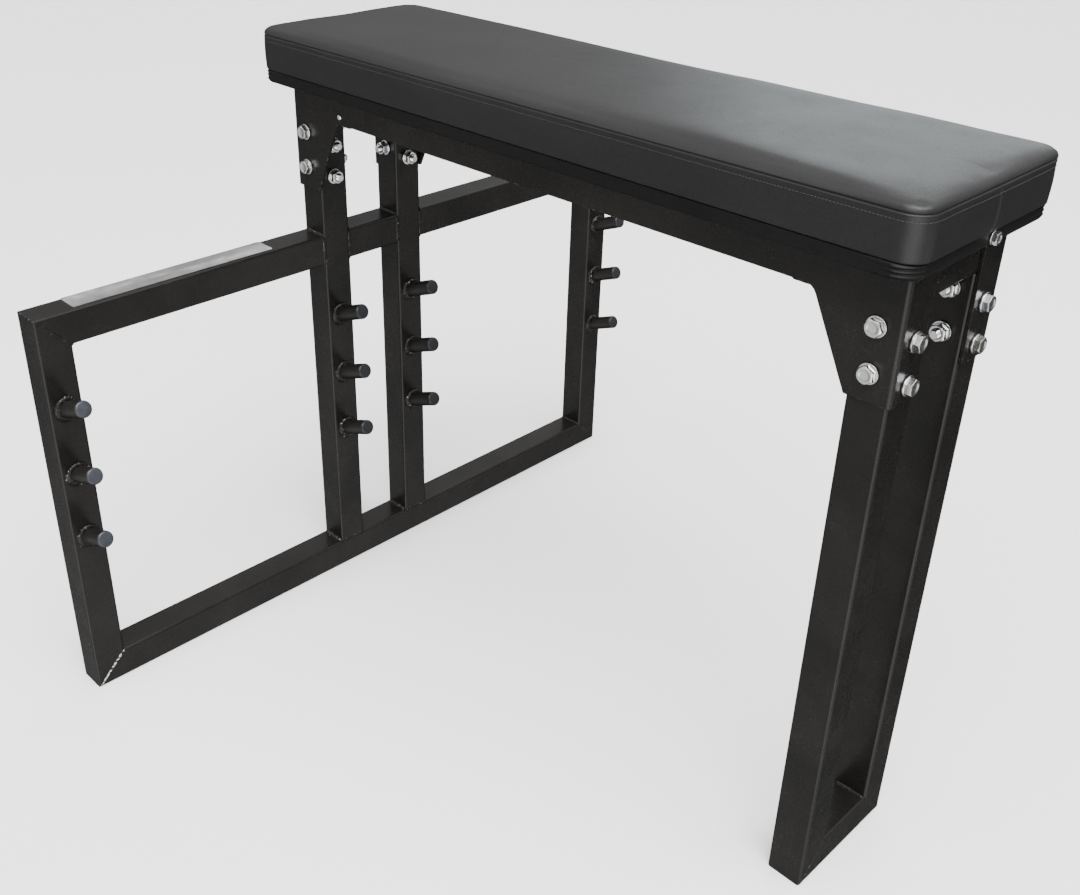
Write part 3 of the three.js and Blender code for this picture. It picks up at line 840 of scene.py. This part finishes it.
# ---- pad
class Plan:
    """A rounded rectangle. Grid lines are (place, share): share runs over the corner zone, 0 to 1."""

    def __init__(self, half_x, half_y, radius, step, corner_steps, extra=()):
        self.core_x, self.core_y, self.radius = half_x - radius, half_y - radius, radius
        self.lines_x = self.lines(self.core_x, step, corner_steps, ())
        self.lines_y = self.lines(self.core_y, step, corner_steps, extra)
        last_x, last_y = len(self.lines_x) - 1, len(self.lines_y) - 1
        self.outline = [(i, 0) for i in range(last_x)] + [(last_x, j) for j in range(last_y)]
        self.outline += [(i, last_y) for i in range(last_x, 0, -1)] + [(0, j) for j in range(last_y, 0, -1)]

    @staticmethod
    def lines(core, step, corner_steps, extra):
        count = max(1, round(2 * core / step))
        inner = [-core + 2 * core * i / count for i in range(count + 1)]
        if extra:
            kept = [value for value in inner if abs(value) > max(extra) + step / 3]
            inner = sorted(kept + list(extra))
        shares = [k / corner_steps for k in range(1, corner_steps + 1)]
        near, far = [(-core, share) for share in reversed(shares)], [(core, share) for share in shares]
        return near + [(value, 0.0) for value in inner] + far

    def point(self, i, j, inset):
        (x, a), (y, b) = self.lines_x[i], self.lines_y[j]
        radius = self.radius - inset
        if a and b:
            a, b = a * sqrt(1 - b * b / 2), b * sqrt(1 - a * a / 2)
        return x + copysign(a * radius, x), y + copysign(b * radius, y)

    def ring(self, inset, height):
        return [(*self.point(i, j, inset), height) for i, j in self.outline]

    def outward(self):
        """Unit outward direction in plan at each outline point."""
        inner = self.ring(MM, 0)
        return [(Vector(a) - Vector(b)).normalized() for a, b in zip(self.ring(0, 0), inner)]


cushion_low, cushion_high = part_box("pad_cushion")
board_low, board_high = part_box("pad_board")
SEAM = cushion_high.z - 15 * MM             # the seam between the top panel and the side band
SEAM_RELIEF = {"seam": -1.7, "near": -0.5, "lip": 0.55}     # outwards, in mm
# the upright seam in the front band: place across the bench, and relief in mm
END_SEAM = {-2.6 * MM: 0.55, -1.1 * MM: -0.2, 0.0: -1.6, 1.1 * MM: -0.2, 2.6 * MM: 0.55}
EASE = 3.5 * MM                             # room left for the swelling of the sides
CUSHION_CORNER, CUSHION_STEP = 27 * MM, 8 * MM
SWELL_CAP = 7.5 * MM
SWELL_FRAMES = 20
FOAM = {
    "quality": 6, "mass": 0.3, "tension_stiffness": 26, "compression_stiffness": 26, "shear_stiffness": 12,
    "bending_stiffness": 30, "use_pressure": True, "uniform_pressure_force": 4,
}
UNEVEN = 0.9 * MM


def cushion_profile():
    """(inset, height, group) from the top panel's edge down to the underside."""
    profile = []
    roll, rise = 9 * MM, 7.5 * MM
    for i in range(5):
        angle = radians(90 - 20 * i)
        profile.append((roll * (1 - cos(angle)), SEAM + 2 * MM + rise * sin(angle), "top"))
    profile += [
        (0.0, SEAM + 1.6 * MM, "lip"), (0.0, SEAM + 0.7 * MM, "near"), (0.0, SEAM, "seam"),
        (0.0, SEAM - 0.7 * MM, "near"), (0.0, SEAM - 1.7 * MM, "lip"),
    ]
    base = cushion_low.z + 3.5 * MM
    top = SEAM - 4.5 * MM
    for i in range(9):
        share = i / 8
        bulge = 1.0 * MM * sin(pi * share)
        profile.append((-bulge, top + (base - top) * share, "band"))
    profile += [(0.2 * MM, cushion_low.z + 0.7 * MM, "base"), (1.4 * MM, cushion_low.z + 0.1 * MM, "base")]
    return profile


def build_cushion():
    half_x, half_y = cushion_high.x - EASE, cushion_high.y - EASE
    plan = Plan(half_x, half_y, CUSHION_CORNER, CUSHION_STEP, 4, tuple(END_SEAM))
    profile = cushion_profile()
    count = len(plan.outline)
    points, groups, faces = [], [], []
    for inset, height, group in profile:
        points += plan.ring(inset, height)
        groups += [group] * count
    for r in range(len(profile) - 1):
        for k in range(count):
            n = (k + 1) % count
            faces.append((r * count + n, r * count + k, (r + 1) * count + k, (r + 1) * count + n))
    columns, rows = len(plan.lines_x), len(plan.lines_y)
    for ring, group, flip in ((0, "crown", False), (len(profile) - 1, "base", True)):
        inset, height = profile[ring][:2]
        index = {place: ring * count + k for k, place in enumerate(plan.outline)}
        for i in range(1, columns - 1):
            for j in range(1, rows - 1):
                index[i, j] = len(points)
                points.append((*plan.point(i, j, inset), height))
                groups.append(group)
        for i in range(columns - 1):
            for j in range(rows - 1):
                quad = (index[i, j], index[i + 1, j], index[i + 1, j + 1], index[i, j + 1])
                faces.append(tuple(reversed(quad)) if flip else quad)
    mesh = bpy.data.meshes.new("pad_cover")
    mesh.from_pydata(points, [], faces)
    made = bpy.data.objects.new("pad_cover", mesh)
    scene.collection.objects.link(made)
    return made, plan, profile, groups


def read_points(mesh):
    flat = np.empty(len(mesh.vertices) * 3, dtype=np.float32)
    mesh.vertices.foreach_get("co", flat)
    return flat.reshape(-1, 3).astype(float)


def write_points(mesh, points):
    mesh.vertices.foreach_set("co", points.astype(np.float32).ravel())
    mesh.update()


def swell(made, groups):
    """Inflates the cover as cloth, held along the seam and where it lies on the board."""
    rest = read_points(made.data)
    pins = made.vertex_groups.new(name="held")
    pins.add([i for i, group in enumerate(groups) if group in ("base", "seam")], 1.0, "REPLACE")
    pins.add([i for i, group in enumerate(groups) if group == "near"], 0.8, "REPLACE")
    cloth = made.modifiers.new("cloth", "CLOTH")
    settings = cloth.settings
    for key, value in FOAM.items():
        setattr(settings, key, value)
    settings.vertex_group_mass = "held"
    settings.effector_weights.gravity = 0
    cloth.point_cache.frame_start, cloth.point_cache.frame_end = 1, SWELL_FRAMES
    for number in range(1, SWELL_FRAMES + 1):
        scene.frame_set(number)
    shown = made.evaluated_get(bpy.context.evaluated_depsgraph_get())
    swollen = read_points(shown.data)
    made.modifiers.remove(cloth)
    scene.frame_set(1)
    moved = swollen - rest
    far = np.linalg.norm(moved, axis=1)
    return rest + moved * (SWELL_CAP * np.tanh(far / SWELL_CAP) / np.maximum(far, 1e-9))[:, None]


def bake_subdivision(made):
    smooth = made.modifiers.new("smooth", "SUBSURF")
    smooth.levels = smooth.render_levels = 1
    shown = made.evaluated_get(bpy.context.evaluated_depsgraph_get())
    finer = bpy.data.meshes.new_from_object(shown)
    made.modifiers.remove(smooth)
    made.data = finer


def make_cushion():
    made, plan, profile, groups = build_cushion()
    points = swell(made, groups)
    # soft unevenness of foam and of a cover pulled by hand
    for index, group in enumerate(groups):
        x, y, z = points[index]
        if group == "crown":
            points[index][2] += UNEVEN * noise.noise(Vector((x * 9, y * 9, 1)))
        elif group == "band":
            side = UNEVEN * noise.noise(Vector((x * 14, y * 14, z * 30)))
            points[index][0 if abs(x) > cushion_high.x - 12 * MM else 1] += side
    # the seam is drawn in between two lips, and the front band has an upright seam in its middle
    count = len(plan.outline)
    outward = plan.outward()
    front = len(plan.lines_x) - 1
    for r, (_, _, group) in enumerate(profile):
        for k, (i, j) in enumerate(plan.outline):
            offset = SEAM_RELIEF.get(group, 0.0)
            if i == front and group == "band":
                offset += END_SEAM.get(plan.lines_y[j][0], 0.0)
            points[r * count + k] += np.array(outward[k]) * offset * MM
    write_points(made.data, points)
    bake_subdivision(made)
    made.data.materials.clear()
    made.data.materials.append(VINYL)
    made.data.shade_smooth()
    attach(made, "root")
    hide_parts("pad_cushion")
    make_stitches(made, plan)


def wire(shape, place, flat, up, long, radius, course):
    """A short wire along flat. Its course is pairs of a share of its length and a rise along up."""
    rings = []
    for share, rise in course:
        middle = place + flat * long * share + up * rise
        rings.append(circle(radius, 0, 6, axis_frame(middle, flat)))
    shape.rings(rings)


STITCH = 3.1 * MM
STITCH_PITCH = 4.3 * MM
STITCH_DROP = 8 * MM        # under the seam
THREAD_RADIUS = 0.36 * MM
STITCH_COURSE = ((-0.5, -0.5), (-0.36, 0.25), (0, 0.5), (0.36, 0.25), (0.5, -0.5))     # rise in radii


def make_stitches(cover, plan):
    """One row of stitches in the side band, a little under the seam, laid on the swollen cover."""
    mesh = cover.data
    faces = [tuple(face.vertices) for face in mesh.polygons]
    tree = BVHTree.FromPolygons([vertex.co for vertex in mesh.vertices], faces)
    loop = [Vector(point) for point in plan.ring(0, SEAM - STITCH_DROP)]
    course = [(share, rise * THREAD_RADIUS) for share, rise in STITCH_COURSE]
    outward = plan.outward()
    shape = Shape()
    carried = 0.0
    for k, start in enumerate(loop):
        end = loop[(k + 1) % len(loop)]
        length = (end - start).length
        along = (end - start).normalized()
        while carried < length:
            out = outward[k].lerp(outward[(k + 1) % len(loop)], carried / length)
            probe = start + along * carried + out * 12 * MM
            hit, normal = tree.ray_cast(probe, -out, 30 * MM)[:2]
            if hit is not None:
                flat = (along - normal * along.dot(normal)).normalized()
                wire(shape, hit, flat, normal, STITCH, THREAD_RADIUS, course)
            carried += STITCH_PITCH
        carried -= length
    shape.piece("pad_stitches", THREAD, "black_vinyl", sharp=70)


WRAP_MARGIN = 36 * MM        # folded in under the board
RIDGE_PITCH = 5 * MM
BOARD_CORNER = 25 * MM
LAST_ROUNDED = 24 * MM      # rings further in than this keep the same corners
FOLD_HIGH, FOLD_FADE = 1.3 * MM, 11 * MM
PULL = 0.25 * MM            # unevenness of the wrap along the sides


def make_wrap():
    """The board in its vinyl, which is pulled tight round the corners and folded in underneath."""
    plan = Plan(board_high.x, board_high.y, BOARD_CORNER, 16 * MM, 7)
    low, high = board_low.z, board_high.z
    rings = [
        (WRAP_MARGIN + MM, low + 1.3 * MM), (WRAP_MARGIN + 0.4 * MM, low + 0.5 * MM),
        (WRAP_MARGIN - MM, low), (4 * MM, low), (1.2 * MM, low + 0.8 * MM), (0.2 * MM, low + 2.2 * MM),
    ]
    rings += [(0.0, low + 3 * MM + i * MM) for i in range(13)]
    rings += [(0.3 * MM, high - 0.4 * MM), (1.4 * MM, high), (LAST_ROUNDED, high)]
    outward = plan.outward()
    loops = []
    for inset, height in rings:
        core = min(inset, LAST_ROUNDED)
        loop = []
        for k, (i, j) in enumerate(plan.outline):
            x, y = plan.point(i, j, core)
            x -= copysign(inset - core, x)
            y -= copysign(inset - core, y)
            point = Vector((x, y, height))
            if inset < MM:
                # folds of the wrap stack up at the corners and fade along the sides
                past_x = max(0.0, board_high.x - BOARD_CORNER - abs(x))
                past_y = max(0.0, board_high.y - BOARD_CORNER - abs(y))
                fade = exp(-((past_x + past_y) / FOLD_FADE) ** 2)
                ridge = 0.5 + 0.5 * cos(FULL_TURN * (high - 3 * MM - height) / RIDGE_PITCH)
                pull = noise.noise(Vector((x * 22, y * 22, 3)))
                point += outward[k] * (FOLD_HIGH * fade * ridge ** 1.6 + PULL * pull)
            loop.append(point)
        loops.append(loop)
    shape = Shape()
    shape.rings(loops)
    made = shape.piece("pad_board_wrap", WRAP, "wrapped_board", sharp=50)
    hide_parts("pad_board")


def make_lining():
    inset = WRAP_MARGIN + 1.5 * MM
    x, y = board_high.x - inset, board_high.y - inset
    heights = (board_low.z + 0.7 * MM, board_low.z + 1.1 * MM)
    shape = Shape()
    shape.rings([[(-x, -y, z), (x, -y, z), (x, y, z), (-x, y, z)] for z in heights])
    shape.piece("pad_board_lining", LINING, "wrapped_board")


STAPLE_WIRE, STAPLE_LONG = 0.35 * MM, 10 * MM
STAPLE_COURSE = ((-0.5, 0.6), (-0.47, -0.1), (0, -0.2), (0.47, -0.1), (0.5, 0.6))      # rise in mm
STAPLE_PITCH, STAPLE_END = 55 * MM, 45 * MM
STAPLE_INSET = 24 * MM      # from the board's edge
SEAT_REACH = 112 * MM       # the seat frame hides what is nearer the middle than this


def make_staples():
    places = []
    for half_long, half_across, along in ((board_high.x, board_high.y, 0), (board_high.y, board_high.x, 1)):
        reach = half_long - STAPLE_END
        count = int(2 * reach / STAPLE_PITCH)
        for i in range(count + 1):
            run = -reach + 2 * reach * i / count
            for sign in (-1, 1):
                place = (run, sign * (half_across - STAPLE_INSET))
                places.append((place[::-1] if along else place, along))
    shape = Shape()
    for index, ((x, y), along) in enumerate(places):
        if abs(y) < SEAT_REACH:
            continue
        turn = 0.12 * sin(index * 2.3) + (0 if along else pi / 2)
        flat = Vector((sin(turn), cos(turn), 0))
        wire(shape, Vector((x, y, board_low.z)), flat, Z_AXIS * MM, STAPLE_LONG, STAPLE_WIRE, STAPLE_COURSE)
    shape.piece("pad_staples", ZINC, "zinc_fastener")


make_cushion()
make_wrap()
make_lining()
make_staples()


# ---- carried-over CAD nodes
def smoothing_group():
    """Shades the tubes' rounded corners smoothly and leaves real edges sharp."""
    group = bpy.data.node_groups.new("smooth_turns", "GeometryNodeTree")
    group.interface.new_socket("Geometry", in_out="INPUT", socket_type="NodeSocketGeometry")
    group.interface.new_socket("Geometry", in_out="OUTPUT", socket_type="NodeSocketGeometry")
    nodes, links = group.nodes, group.links
    start, end = nodes.new("NodeGroupInput"), nodes.new("NodeGroupOutput")
    faces, edges = nodes.new("GeometryNodeSetShadeSmooth"), nodes.new("GeometryNodeSetShadeSmooth")
    faces.domain, edges.domain = "FACE", "EDGE"
    angle = nodes.new("GeometryNodeInputMeshEdgeAngle")
    gentle = nodes.new("FunctionNodeCompare")
    gentle.operation = "LESS_THAN"
    gentle.inputs[1].default_value = radians(29)
    links.new(start.outputs[0], faces.inputs["Geometry"])
    links.new(faces.outputs[0], edges.inputs["Geometry"])
    links.new(angle.outputs["Unsigned Angle"], gentle.inputs[0])
    links.new(gentle.outputs[0], edges.inputs["Shade Smooth"])
    links.new(edges.outputs[0], end.inputs[0])
    return group


def nodes_with(*words):
    return [node for name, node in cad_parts.items() if any(word in name for word in words)]


def smooth(nodes):
    group = smoothing_group()
    for node in nodes:
        weld = node.modifiers.new("weld", "WELD")
        weld.merge_threshold = 0.01 * MM
        turns = node.modifiers.new("turns", "NODES")
        turns.node_group = group
        weighted = node.modifiers.new("weighted", "WEIGHTED_NORMAL")
        weighted.keep_sharp = True


def repaint(nodes, material):
    for node in nodes:
        for slot in node.material_slots:
            slot.material = material


frame_nodes = nodes_with("rail", "upright", "cross_member", "side_plate")
smooth(frame_nodes)
repaint(frame_nodes, FRAME_PAINT)
repaint(nodes_with("label_plate"), LABEL)
